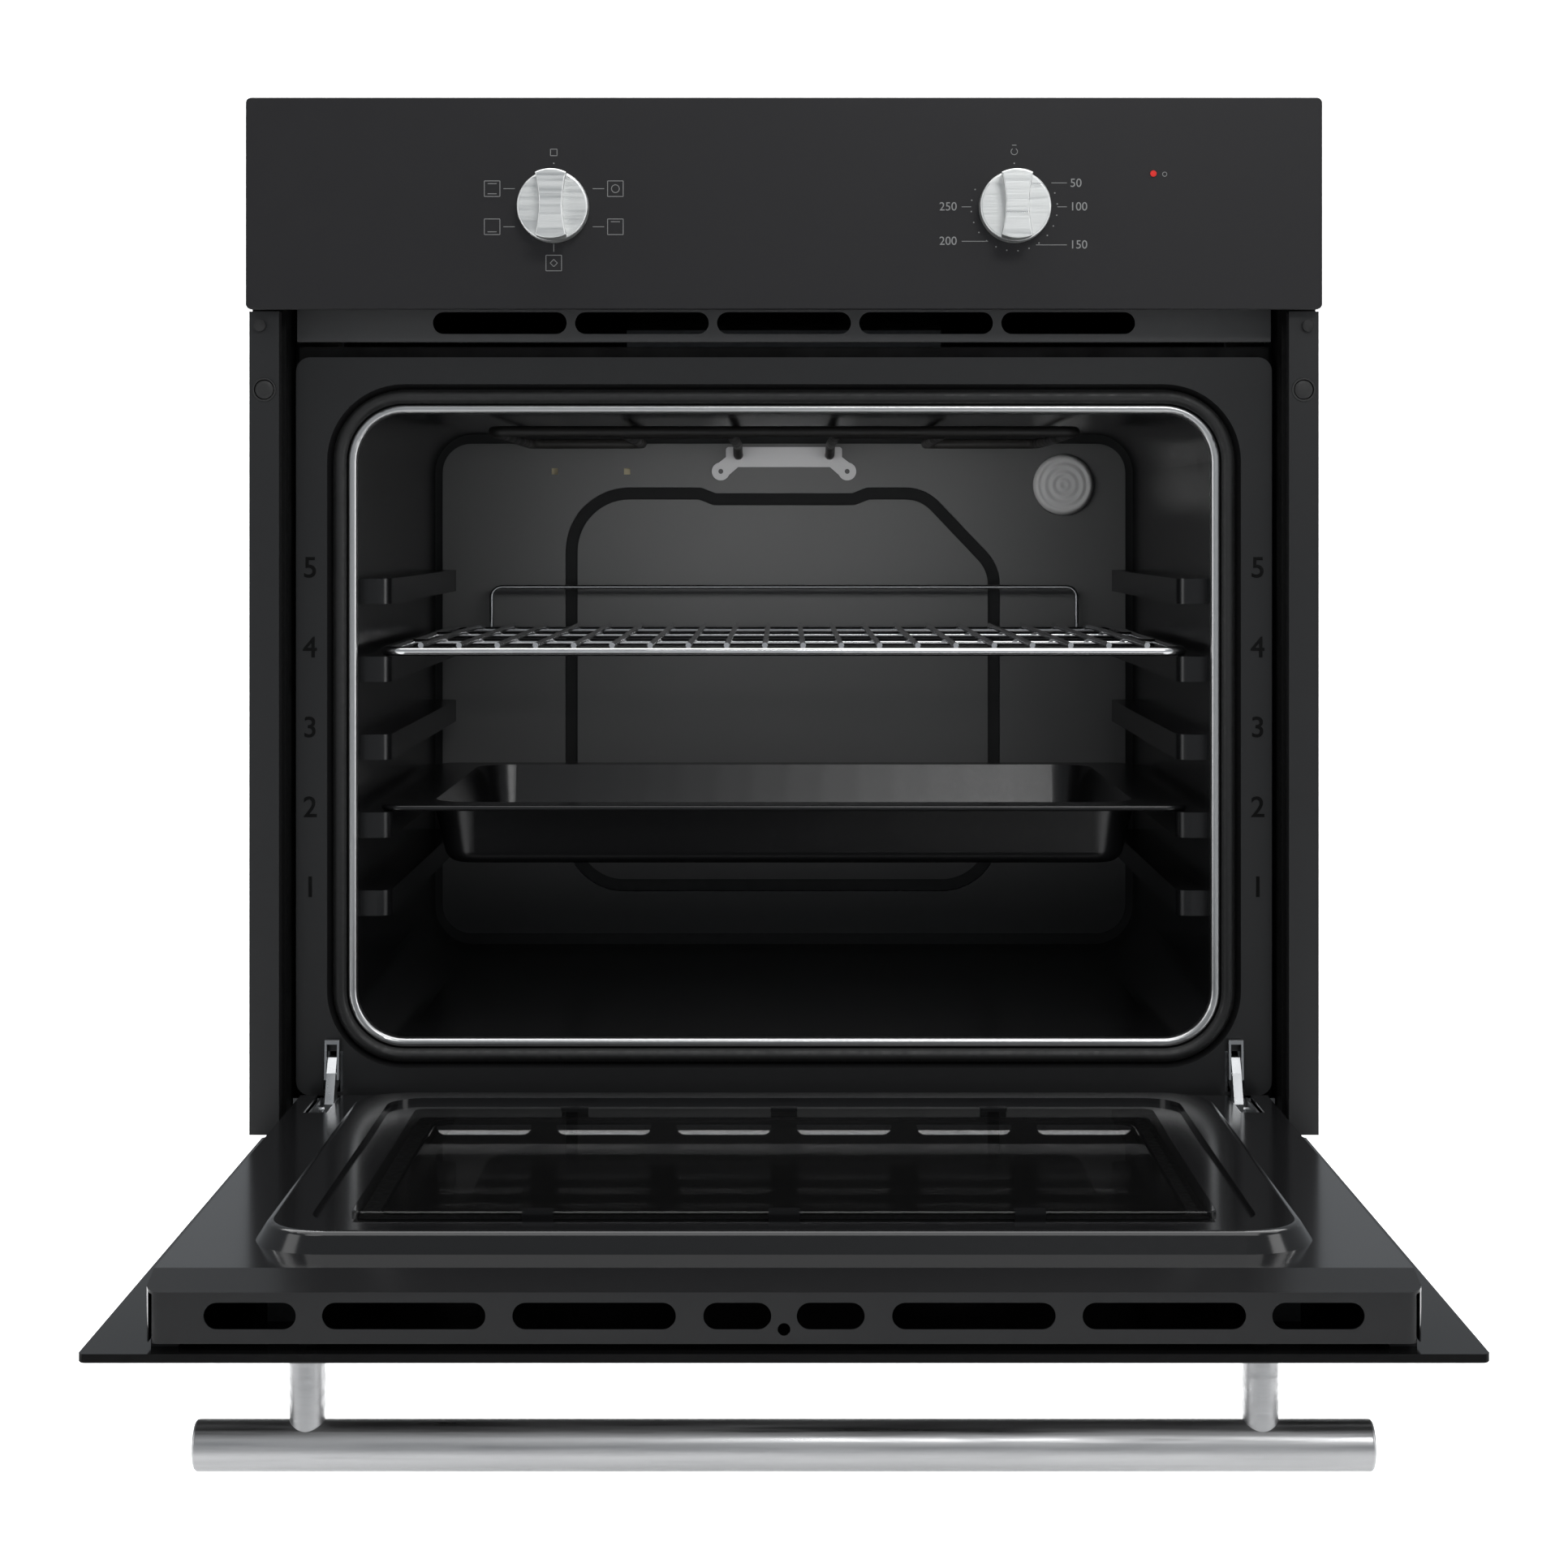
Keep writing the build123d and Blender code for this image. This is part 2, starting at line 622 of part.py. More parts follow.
def knob(x):
    """Turned knob: a disc with a waisted grip across it, and the bore for its spindle."""
    disc = pin_y(x, KNOB_Z, KNOB_RADIUS, -12.0, -1.0)
    disc = fillet([e for e in disc.edges() if abs(e.center().Y - y(-12.0)) < 0.01], 1.4)
    waist, bow = 6.6, 68.0
    grip = pin_y(x, KNOB_Z, KNOB_RADIUS - 0.5, -25.0, -12.0)
    for side in SIDES:
        grip -= rearward(Pos(x + side * (waist + bow), KNOB_Z) * Circle(bow), -26.0, -12.0, taper=-4)
    crown = [e for e in grip.edges() if abs(e.center().Y - y(-25.0)) < 0.01]
    grip = fillet(crown, 0.9)
    return disc + grip - pin_y(x, KNOB_Z, 3.0, -14.0, 0.0)


def spindle(x):
    """Control spindle, pressed into its knob and running in the control behind the fascia."""
    return pin_y(x, KNOB_Z, 3.0, -14.0, 36.0)


def rotary_body(x, width, height, depth):
    """Body of a rotary control, with the bore for the knob's spindle."""
    body = block(x - width / 2, x + width / 2, 9.0, 9.0 + depth, KNOB_Z - height / 2, KNOB_Z + height / 2)
    body += pin_y(x, KNOB_Z, 4.8, 5.4, 9.0)
    return body - pin_y(x, KNOB_Z, 3.05, 5.0, 37.0)


def thermostat_capillary():
    """Copper capillary from the thermostat to the bulb behind the cavity's back wall."""
    tube = bent_rod(
        [
            (140, 37.5, 505), (140, 70, 505), (230, 70, 505), (230, 300, 480),
            (230, 500, 470), (100, 505, 400), (-60, 505, 382),
        ],
        18.0, 2.0,
    )
    return tube + pin_x(-160, -60, 505, 382, 3.5)


def indicator_lens():
    dome = pin_y(LAMP_X, LAMP_Z, 1.75, -0.6, 6.0)
    return dome + pin_y(LAMP_X, LAMP_Z, 3.0, GLASS + SHEET + 0.2, 8.0)


def indicator_body():
    return block(LAMP_X - 5, LAMP_X + 5, 8.0, 28.0, LAMP_Z - 5, LAMP_Z + 5)


parts["fascia_glass"] = fascia_glass()
parts["fascia_carrier"] = fascia_carrier()
parts["function_knob"] = knob(-KNOB_X)
parts["thermostat_knob"] = knob(KNOB_X)
parts["function_spindle"] = spindle(-KNOB_X)
parts["thermostat_spindle"] = spindle(KNOB_X)
parts["function_switch"] = rotary_body(-KNOB_X, 44.0, 40.0, 38.0)
parts["thermostat_body"] = rotary_body(KNOB_X, 38.0, 34.0, 28.5)
parts["thermostat_capillary"] = thermostat_capillary()
parts["indicator_lens"] = indicator_lens()
parts["indicator_body"] = indicator_body()


# ---- rack and tray ----------------------------------------------------------------------------
RACK_Z = level_top(RACK_LEVEL) + REST_GAP + RACK_ROD / 2


def wire_rack():
    """Welded wire rack: outer rod, two cross bars, lengthwise wires and the rear fence."""
    weld = 0.9
    bar_weld = 0.5                 # less than weld, so a bar is never tangent to the outer rod
    half = SLIDE_HALF - RACK_ROD / 2
    d0, d1 = RACK_FRONT + RACK_ROD / 2, RACK_REAR - RACK_ROD / 2
    outline = Pos(0, y((d0 + d1) / 2), RACK_Z) * RectangleRounded(2 * half, d1 - d0, 12.0)
    wire_z = RACK_Z + (RACK_ROD + RACK_WIRE) / 2 - weld
    bar_z = wire_z - (RACK_BAR + RACK_WIRE) / 2 + bar_weld
    foot = RACK_Z + RACK_ROD / 2 - weld
    fence = [(-201, d1, foot), (-201, d1, FENCE_Z), (201, d1, FENCE_Z), (201, d1, foot)]
    welded = [bent_rod(fence, 7.0, RACK_WIRE)]
    for d in RACK_BARS:
        welded.append(pin_x(-half, half, d, bar_z, RACK_BAR / 2))
    for n in range(RACK_WIRES):
        x = (n - (RACK_WIRES - 1) / 2) * RACK_WIRE_PITCH
        welded.append(pin_y(x, wire_z, RACK_WIRE / 2, RACK_FRONT + 0.6, RACK_REAR - 0.6))
    return rod_along(outline.wire(), RACK_ROD).fuse(*welded)


def tray():
    """Enamelled baking tray: sloping pan with a flat rim that rides on the rails."""
    rim_z = level_top(TRAY_LEVEL) + REST_GAP
    deep = 33.0
    top_pan = top_rect(205.0, TRAY_FRONT + 20, TRAY_REAR - 18, 26.0)
    rim = upward(top_rect(SLIDE_HALF, TRAY_FRONT, TRAY_REAR, 12.0), rim_z, rim_z + 3.4)
    rim = fillet([e for e in rim.edges() if e.center().Z > rim_z + 3.3 or e.center().Z < rim_z + 0.1], 1.5)
    pan = extrude(Pos(0, PANEL_FACE_Y, rim_z + 1) * top_pan, amount=-deep - 1, taper=14)
    floor_edges = [e for e in pan.edges() if e.center().Z < rim_z - deep + 0.1]
    pan = fillet(floor_edges, 9.0)
    hollow_top = top_rect(205.0 - 1.6, TRAY_FRONT + 21.6, TRAY_REAR - 19.6, 24.4)
    hollow = extrude(Pos(0, PANEL_FACE_Y, rim_z + 3.5) * hollow_top, amount=-deep - 3.5 + 1.5, taper=14)
    hollow = fillet([e for e in hollow.edges() if e.center().Z < rim_z - deep + 1.6], 7.5)
    return rim + pan - hollow


parts["wire_rack"] = wire_rack()
parts["baking_tray"] = tray()


# ---- door ---------------------------------------------------------------------------------
def outer_pane():
    pane = upward(top_rect(HALF_WIDTH, PANE_FRONT, PANE_REAR, 3.0), PANE_FACE_Z, PANE_FACE_Z + GLASS)
    pane = chamfer([e for e in pane.edges() if e.center().Z < PANE_FACE_Z + 0.01], 0.6)
    for side in SIDES:
        pane -= pin_z(side * POST_X, BAR_DEPTH, 3.2, PANE_FACE_Z - 1, PANE_FACE_Z + GLASS + 1)
    return pane


def tub_profile(inset):
    """Side outline of the door's inner tub, shrunk by inset on its closed sides."""
    return [
        (TUB_FRONT + inset, TUB_FOOT_Z), (TUB_FRONT + inset, TUB_RIM_Z - inset * 0.8),
        (TUB_FRONT + TUB_BEVEL + inset * 0.2, TUB_TOP_Z - inset), (TUB_REAR - inset, TUB_TOP_Z - inset),
        (TUB_REAR - inset, TUB_FOOT_Z),
    ]


# (centre X, length) of the vent slots along the tub's front, right-hand half
TUB_SLOTS = ((19.7, 28.7), (80.1, 69.0), (160.4, 69.0), (225.4, 39.0))


def plateau(grow):
    """Foot outline of the raised field that enters the cavity's mouth."""
    return Pos(0, PLATEAU_MID) * RectangleRounded(2 * (236 + grow), 354 + 2 * grow, 34 + grow)


def door_tub():
    """Deep-drawn inner panel: sides, slotted front and rear, and the raised window field."""
    tub = sideways(tub_profile(0), -TUB_HALF, TUB_HALF)
    corners = [e for e in tub.edges().filter_by(Axis.Z) if e.center().Y < y(TUB_FRONT) + 1]
    tub = fillet(corners, 7.0)
    crest_z, bed_z = 32.0, 29.3
    hump = upward(plateau(0), TUB_TOP_Z - 0.5, crest_z, taper=32)
    hump = fillet([e for e in hump.edges() if e.center().Z > crest_z - 0.01], 4.0)
    tub += hump
    tub -= upward(Pos(0, PLATEAU_MID) * RectangleRounded(2 * 212, 306, 20), bed_z, crest_z + 1)
    hollow = sideways(tub_profile(SHEET), -TUB_HALF + SHEET, TUB_HALF - SHEET)
    hollow += upward(plateau(-1.6), TUB_TOP_Z - 3, crest_z - SHEET - 2.6, taper=32)
    tub -= hollow
    window = Pos(0, (WINDOW_FRONT + WINDOW_REAR) / 2) * RectangleRounded(
        2 * WINDOW_HALF - 24, WINDOW_REAR - WINDOW_FRONT - 24, 10)
    tub -= upward(window, 20, 40)
    for side in SIDES:
        for x, length in TUB_SLOTS:
            tub -= long_slot(side * x, 7.75, length, 11.3, TUB_FRONT - 1, TUB_FRONT + 3)
        for n in range(4):
            tub -= long_slot(side * (33.5 + 67.0 * n), 6.0, 53.0, 10.0, TUB_REAR - 3, TUB_REAR + 1)
        tub -= block(side * ARM_X - 6.6, side * ARM_X + 6.6, -30.0, TUB_REAR + 1, 2.0, TUB_TOP_Z + 1)
    return tub - pin_y(0, 2.1, 2.7, TUB_FRONT - 1, TUB_FRONT + 3)


def inner_pane():
    """Hot-side pane, laid in the bed of the raised field."""
    outline = Pos(0, (WINDOW_FRONT + WINDOW_REAR) / 2) * RectangleRounded(
        2 * WINDOW_HALF, WINDOW_REAR - WINDOW_FRONT, 6)
    pane = upward(outline, INNER_PANE_TOP - GLASS, INNER_PANE_TOP)
    return chamfer([e for e in pane.edges() if e.center().Z > INNER_PANE_TOP - 0.01], 0.6)


def pane_seal():
    """Flat silicone bead under the inner pane."""
    mid = (WINDOW_FRONT + WINDOW_REAR) / 2
    span = WINDOW_REAR - WINDOW_FRONT
    ring = RectangleRounded(2 * WINDOW_HALF - 6, span - 6, 5) - RectangleRounded(
        2 * WINDOW_HALF - 22, span - 22, 8)
    return upward(Pos(0, mid) * ring, 29.3, INNER_PANE_TOP - GLASS)


def pane_clips():
    """Spring clips that hold the inner pane at its long edges."""
    clips = []
    for x in (-110.0, 0.0, 110.0):
        for edge, inward in ((WINDOW_FRONT, 1), (WINDOW_REAR, -1)):
            out = edge - 1.2 * inward
            foot = block(x - 7, x + 7, out - 4 * inward, out, 29.3, 30.3)
            riser = block(x - 7, x + 7, out - 1.0 * inward, out, 30.3, INNER_PANE_TOP + 0.9)
            lip = block(x - 7, x + 7, out, edge + 4 * inward, INNER_PANE_TOP + 0.1, INNER_PANE_TOP + 0.9)
            clips.append(foot + riser + lip)
    return clips


def middle_pane():
    return upward(Pos(0, -195) * RectangleRounded(440, 330, 4), 10.0, 14.0)


def pane_rails():
    """Plastic rails that hold the middle pane off the outer one."""
    rail = block(212.0, 226.0, -362, -28, -7.0, 16.0)
    rail -= block(211.0, 220.3, -360.2, -29.8, 9.9, 14.1)
    return [rail, mirrored(rail)]


def bonding_strips():
    """Silicone strips that bond the tub's foot to the outer pane."""
    strip = block(257.0, 268.6, -404, 14, PANE_FACE_Z + GLASS, TUB_FOOT_Z)
    return [strip, mirrored(strip)]


def hinge_case():
    """Right-hand hinge case: a channel in the door that ends in two ears round the pivot."""
    half = 5.6
    d0, d1 = -190.0, 31.5
    case = block(ARM_X - half, ARM_X + half, d0, d1, 6.0, 20.8)
    case -= block(ARM_X - half + SHEET, ARM_X + half - SHEET, d0 + SHEET, d1 + 1, 6.0 + SHEET, 22.0)
    ears = [e for e in case.edges().filter_by(Axis.X) if e.center().Y > y(d1) - 0.1 and e.center().Z > 20]
    case = fillet(ears, 5.0)
    case -= block(ARM_X - 4, ARM_X + 4, 18.0, d1 + 1, 5.0, 8.0)
    return case - pin_x(ARM_X - 7, ARM_X + 7, HINGE_DEPTH, HINGE_Z, 2.05)


def hinge_arm():
    """Right-hand hinge arm: from the pivot, back through the front plate to its hook."""
    outline = [
        (27.0, 9.2), (33.0, 12.5), (37.0, 24.0), (46.0, 25.0), (78.0, 25.0), (78.0, 18.0), (86.0, 18.0),
        (86.0, 40.0), (40.0, 42.0), (34.5, 42.0), (29.0, 34.0), (21.0, 18.0), (20.6, 13.0), (22.5, 9.6),
    ]
    arm = sideways(outline, ARM_X - ARM_HALF, ARM_X + ARM_HALF)
    arm += pin_x(ARM_X - 4.1, ARM_X + 4.1, LOCK_DEPTH, LOCK_Z, 1.2)
    return arm - pin_x(ARM_X - 5, ARM_X + 5, HINGE_DEPTH, HINGE_Z, 2.1)


def hinge_pin():
    return pin_x(ARM_X - 6.4, ARM_X + 6.4, HINGE_DEPTH, HINGE_Z, 2.0)


def hinge_receiver():
    """Bracket behind the front plate that the arm hooks into."""
    body = block(ARM_X - 6.5, ARM_X + 6.5, 46.0, 92.0, 14.0, 46.0)
    return body - block(ARM_X - 2.9, ARM_X + 2.9, 45.0, 89.0, 16.0, 44.0)


def hinge_lock():
    """Right-hand locking clip: a stirrup that flips forward over the arm."""
    cheeks = []
    for side in SIDES:
        x = ARM_X + side * 3.5
        cheek = sideways([(30.4, 30.0), (35.8, 30.0), (36.8, 52.0), (32.4, 52.0)], x - 0.6, x + 0.6)
        cheeks.append(cheek)
    bridge = block(ARM_X - 4.1, ARM_X + 4.1, 32.4, 36.8, 49.6, 52.0)
    clip = cheeks[0] + cheeks[1] + bridge
    return clip - pin_x(ARM_X - 6, ARM_X + 6, LOCK_DEPTH, LOCK_Z, 1.25)


def spring_rod():
    """Right-hand spring rod in the hinge case: a hooked rod with its thrust washer."""
    rod = pin_y(ARM_X, 11.6, 1.7, -170, -16)
    washer = pin_y(ARM_X, 11.6, 3.6, -62, -60)
    hook = block(ARM_X - 1.8, ARM_X + 1.8, -16, -8, 9.8, 13.4)
    return rod + washer + hook


def hinge_spring():
    """Right-hand door spring, coiled round the rod between the case's end and the washer."""
    length, pitch = 116.0, 5.8
    helix = Helix(pitch=pitch, height=length, radius=2.9)
    section = Plane(origin=helix @ 0, z_dir=helix % 0) * Circle(1.0)
    coil = sweep(section, path=helix, is_frenet=True)
    return Pos(ARM_X, y(-179.5), 11.6) * Rot(-90, 0, 0) * coil


def handle_bar():
    bar = pin_x(-BAR_LENGTH / 2, BAR_LENGTH / 2, BAR_DEPTH, BAR_Z, BAR_RADIUS)
    bar = fillet(bar.edges().filter_by(GeomType.CIRCLE), 1.6)
    for side in SIDES:
        bar -= pin_z(side * POST_X, BAR_DEPTH, POST_RADIUS, BAR_Z + 4, PANE_FACE_Z)
    return bar


def handle_post():
    post = pin_z(POST_X, BAR_DEPTH, POST_RADIUS, BAR_Z + 4, PANE_FACE_Z)
    return post - pin_z(POST_X, BAR_DEPTH, 2.5, PANE_FACE_Z - 18, PANE_FACE_Z + 1)


def handle_screw():
    """Flanged screw through the pane into a post, with a driver slot in its head."""
    seat = PANE_FACE_Z + GLASS
    shank = pin_z(POST_X, BAR_DEPTH, 2.45, PANE_FACE_Z - 15, seat)
    flange = pin_z(POST_X, BAR_DEPTH, 8.0, seat, seat + 1.2)
    head = pin_z(POST_X, BAR_DEPTH, 4.6, seat + 1.2, seat + 4.2)
    slot = block(POST_X - 3, POST_X + 3, BAR_DEPTH - 0.5, BAR_DEPTH + 0.5, seat + 3, seat + 5)
    return shank + flange + head - slot


parts["door_outer_pane"] = outer_pane()
parts["door_tub"] = door_tub()
parts["door_inner_pane"] = inner_pane()
parts["inner_pane_seal"] = pane_seal()
parts["inner_pane_clips"] = Compound(children=pane_clips())
parts["door_middle_pane"] = middle_pane()
parts["middle_pane_rails"] = Compound(children=pane_rails())
parts["bonding_strips"] = Compound(children=bonding_strips())
parts["hinge_cases"] = both_sides(hinge_case())
parts["hinge_arms"] = both_sides(hinge_arm())
parts["hinge_pins"] = both_sides(hinge_pin())
parts["hinge_receivers"] = both_sides(hinge_receiver())
parts["hinge_lock_right"] = hinge_lock()
parts["hinge_lock_left"] = mirrored(hinge_lock())
parts["spring_rods"] = both_sides(spring_rod())
parts["hinge_springs"] = both_sides(hinge_spring())
parts["handle_bar"] = handle_bar()
parts["handle_posts"] = both_sides(handle_post())
parts["handle_screws"] = both_sides(handle_screw())


# ---- write -----------------------------------------------------------------------------------
os.makedirs("parts", exist_ok=True)
for name, shape in parts.items():
    export_step(shape, f"parts/{name}.step")
print(len(parts), "nodes")
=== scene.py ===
"""Looks of the built-in wall oven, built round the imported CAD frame. Lengths are in metres."""
import json
import math

import bpy
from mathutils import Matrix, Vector

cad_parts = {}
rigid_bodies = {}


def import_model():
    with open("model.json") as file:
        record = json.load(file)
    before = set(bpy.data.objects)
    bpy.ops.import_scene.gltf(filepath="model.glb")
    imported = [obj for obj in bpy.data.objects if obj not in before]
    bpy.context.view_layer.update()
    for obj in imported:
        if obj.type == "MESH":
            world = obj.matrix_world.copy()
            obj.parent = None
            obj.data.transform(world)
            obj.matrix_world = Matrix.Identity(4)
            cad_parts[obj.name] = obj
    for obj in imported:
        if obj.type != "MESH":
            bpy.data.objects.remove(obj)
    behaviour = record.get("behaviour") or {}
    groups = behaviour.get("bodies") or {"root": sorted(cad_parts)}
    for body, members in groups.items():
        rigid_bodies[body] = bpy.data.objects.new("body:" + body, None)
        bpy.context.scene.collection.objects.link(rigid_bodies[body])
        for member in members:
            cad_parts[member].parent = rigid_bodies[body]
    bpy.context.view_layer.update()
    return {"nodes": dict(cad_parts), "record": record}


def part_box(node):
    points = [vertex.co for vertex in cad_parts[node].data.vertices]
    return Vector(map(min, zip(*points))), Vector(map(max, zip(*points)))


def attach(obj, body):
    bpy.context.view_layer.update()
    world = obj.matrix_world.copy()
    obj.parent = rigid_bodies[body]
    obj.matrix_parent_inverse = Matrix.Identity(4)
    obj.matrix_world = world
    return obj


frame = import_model()


BLACK = (0.009, 0.009, 0.0095)
PRINT_WHITE = (0.27, 0.27, 0.27)
PRINT_GAP = 0.00006            # prints stand this far in front of what carries them


# ---- materials ----------------------------------------------------------------------------
def node(tree, kind, **inputs):
    """Adds a shader node and sets its named inputs."""
    made = tree.nodes.new(kind)
    for name, value in inputs.items():
        made.inputs[name.replace("_", " ")].default_value = value
    return made


def mapped_noise(tree, scale, detail, stretch=(1.0, 1.0, 1.0)):
    """Noise in the object's own coordinates, stretched for brushed or rolled surfaces."""
    place = tree.nodes.new("ShaderNodeTexCoord")
    mapping = node(tree, "ShaderNodeMapping", Scale=stretch)
    noise = node(tree, "ShaderNodeTexNoise", Scale=scale, Detail=detail)
    tree.links.new(place.outputs["Object"], mapping.inputs["Vector"])
    tree.links.new(mapping.outputs["Vector"], noise.inputs["Vector"])
    return noise.outputs["Fac"]


def spread(tree, value, low, high):
    """Maps a noise value to a range."""
    made = node(tree, "ShaderNodeMapRange", From_Min=0.3, From_Max=0.7, To_Min=low, To_Max=high)
    tree.links.new(value, made.inputs["Value"])
    return made.outputs["Result"]


def tint(tree, value, colour, change):
    """Mixes a colour with a slightly darker one."""
    ramp = tree.nodes.new("ShaderNodeMix")
    ramp.data_type = "RGBA"
    darker = tuple(c * (1.0 - change) for c in colour)
    ramp.inputs["A"].default_value = (*darker, 1.0)
    ramp.inputs["B"].default_value = (*colour, 1.0)
    tree.links.new(value, ramp.inputs["Factor"])
    return ramp.outputs["Result"]


def surface(
    name, colour, rough, metal=0.0, coat=0.0, wear=0.12, bump=0.05, grain=60.0,
    stretch=(1.0, 1.0, 1.0), rough_span=0.25, alpha=1.0, specular=0.5,
):
    """A principled material whose colour, roughness and bump all follow fine noise."""
    made = bpy.data.materials.new(name)
    made.use_nodes = True
    tree = made.node_tree
    shader = tree.nodes["Principled BSDF"]
    coarse = mapped_noise(tree, 7.0, 4.0)
    fine = mapped_noise(tree, grain, 6.0, stretch)
    tree.links.new(tint(tree, coarse, colour, wear), shader.inputs["Base Color"])
    low, high = rough * (1.0 - rough_span), rough * (1.0 + rough_span)
    tree.links.new(spread(tree, fine, low, high), shader.inputs["Roughness"])
    dent = node(tree, "ShaderNodeBump", Strength=bump, Distance=0.0004)
    tree.links.new(fine, dent.inputs["Height"])
    tree.links.new(dent.outputs["Normal"], shader.inputs["Normal"])
    shader.inputs["Metallic"].default_value = metal
    shader.inputs["Coat Weight"].default_value = coat
    shader.inputs["Coat Roughness"].default_value = rough * 0.4
    shader.inputs["Alpha"].default_value = alpha
    shader.inputs["Specular IOR Level"].default_value = specular
    return made


def enamel(name, colour, rough=0.22):
    """Gloss vitreous enamel with a faint orange-peel surface."""
    return surface(name, colour, rough, wear=0.2, bump=0.003, grain=420.0, rough_span=0.06)


def brushed(name, colour, rough, stretch):
    """Brushed metal; the grain runs along the axis with the small stretch."""
    return surface(
        name, colour, rough, metal=1.0, wear=0.1, bump=0.25, grain=400.0, stretch=stretch,
        rough_span=0.35,
    )


def make_materials():
    """One material for each of the record's material slots."""
    along_x = (0.03, 1.0, 1.0)
    return {
        # black enamel, with a painted highlight on the lip round the mouth
        "black_enamel": mouth_lip(enamel("black_enamel", (0.016, 0.016, 0.0165), 0.3)),
        "cavity_enamel": enamel("cavity_enamel", (0.006, 0.006, 0.0065), 0.25),
        # grey back wall enamel with painted shade in its groove
        "back_enamel": back_wall_enamel(),
        "tray_enamel": enamel("tray_enamel", (0.008, 0.008, 0.0085), 0.25),
        "door_enamel": enamel("door_enamel", BLACK, 0.14),
        "black_duct": surface("black_duct", (0.002, 0.002, 0.002), 0.6, specular=0.15),
        "dark_grey_paint": surface("dark_grey_paint", (0.06, 0.06, 0.061), 0.4, bump=0.01, grain=300.0),
        "black_plastic": surface("black_plastic", (0.012, 0.012, 0.012), 0.5, bump=0.15, grain=500.0),
        "white_plastic": surface("white_plastic", (0.7, 0.69, 0.65), 0.45, bump=0.1, grain=300.0),
        "black_rubber": surface("black_rubber", (0.012, 0.012, 0.012), 0.7, bump=0.2, grain=300.0),
        "seal_rubber": surface("seal_rubber", (0.01, 0.01, 0.01), 0.5, bump=0.15, grain=300.0),
        "silicone": surface("silicone", (0.01, 0.01, 0.011), 0.4),
        "element_steel": surface("element_steel", (0.02, 0.019, 0.018), 0.5, metal=0.2, wear=0.5),
        "satin_steel": surface(
            "satin_steel", (0.42, 0.42, 0.425), 0.45, metal=0.15, grain=300.0, stretch=along_x),
        "zinc_steel": surface("zinc_steel", (0.55, 0.56, 0.57), 0.3, metal=1.0, wear=0.25),
        "spring_steel": surface("spring_steel", (0.3, 0.3, 0.31), 0.35, metal=1.0, wear=0.3),
        "handle_steel": brushed("handle_steel", (0.52, 0.52, 0.525), 0.42, along_x),
        "knob_steel": brushed("knob_steel", (0.8, 0.81, 0.8), 0.42, (0.04, 1.0, 1.0)),
        "galvanised": surface(
            "galvanised", (0.42, 0.43, 0.44), 0.42, metal=0.85, wear=0.15, bump=0.01, grain=90.0,
            rough_span=0.08),
        "motor_iron": surface("motor_iron", (0.08, 0.08, 0.09), 0.5, metal=0.6, stretch=(8.0, 1.0, 1.0)),
        "satin_aluminium": brushed("satin_aluminium", (0.6, 0.6, 0.61), 0.35, along_x),
        "copper": surface("copper", (0.6, 0.3, 0.17), 0.35, metal=1.0, wear=0.4),
        "rack_chrome": surface("rack_chrome", (0.85, 0.85, 0.86), 0.2, metal=1.0, wear=0.15),
        "glass_wool": surface("glass_wool", (0.6, 0.53, 0.36), 0.95, bump=1.0, grain=180.0),
        "lamp_glass": lamp_material(),
        "fascia_glass": surface(
            "fascia_glass", (0.0135, 0.013, 0.0142), 0.45, bump=0.0, wear=0.04, rough_span=0.04,
            specular=0.3),
        "door_glass": surface(
            "door_glass", (0.004, 0.004, 0.004), 0.12, bump=0.0, grain=20.0, rough_span=0.05,
            specular=0.12),
        "inner_glass": surface(
            "inner_glass", (0.006, 0.006, 0.006), 0.03, bump=0.0, alpha=0.55, grain=20.0),
        "middle_glass": surface(
            "middle_glass", (0.02, 0.02, 0.02), 0.03, bump=0.0, alpha=0.35, grain=20.0),
        "red_lens": surface("red_lens", (0.75, 0.02, 0.012), 0.25, coat=0.5),
    }


def level_mask(tree, axis, low, high):
    """0 below one place along an axis and 1 above another, in the row frame."""
    place = tree.nodes.new("ShaderNodeTexCoord")
    split = tree.nodes.new("ShaderNodeSeparateXYZ")
    ramp = node(tree, "ShaderNodeMapRange", From_Min=low, From_Max=high)
    tree.links.new(place.outputs["Object"], split.inputs["Vector"])
    tree.links.new(split.outputs[axis], ramp.inputs["Value"])
    return ramp.outputs["Result"]


def recolour(tree, painted_light_mask, colour):
    """Blends the shader's base colour to another where the mask is 1."""
    shader = tree.nodes["Principled BSDF"]
    base = shader.inputs["Base Color"].links[0].from_socket
    mix = tree.nodes.new("ShaderNodeMix")
    mix.data_type = "RGBA"
    mix.inputs["B"].default_value = (*colour, 1.0)
    tree.links.new(base, mix.inputs["A"])
    tree.links.new(painted_light_mask, mix.inputs["Factor"])
    tree.links.new(mix.outputs["Result"], shader.inputs["Base Color"])


def back_wall_enamel():
    """Grey enamel on the raised field, with painted shade: black painted in the groove and round the field.
    """
    made = surface(
        "back_enamel", (0.09, 0.09, 0.091), 0.42, wear=0.25, bump=0.03, grain=300.0, rough_span=0.1)
    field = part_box("cavity_back_wall")[0].y
    groove_painted_shade = level_mask(made.node_tree, "Y", field + 0.0004, field + 0.002)
    # painted shade: black in the groove and round the raised field
    recolour(made.node_tree, groove_painted_shade, (0.002, 0.002, 0.002))
    return made


MOUTH_HALF = (0.241, 0.17615)   # half width and half height of the cavity's mouth
MOUTH_CENTRE_Z = 0.22815
MOUTH_RADIUS = 0.027
LIP_HIGHLIGHT_WIDTH = 0.0046
LIP_HIGHLIGHT_DEPTH = 0.0062             # the painted lip highlight reaches this far behind the front plate's face
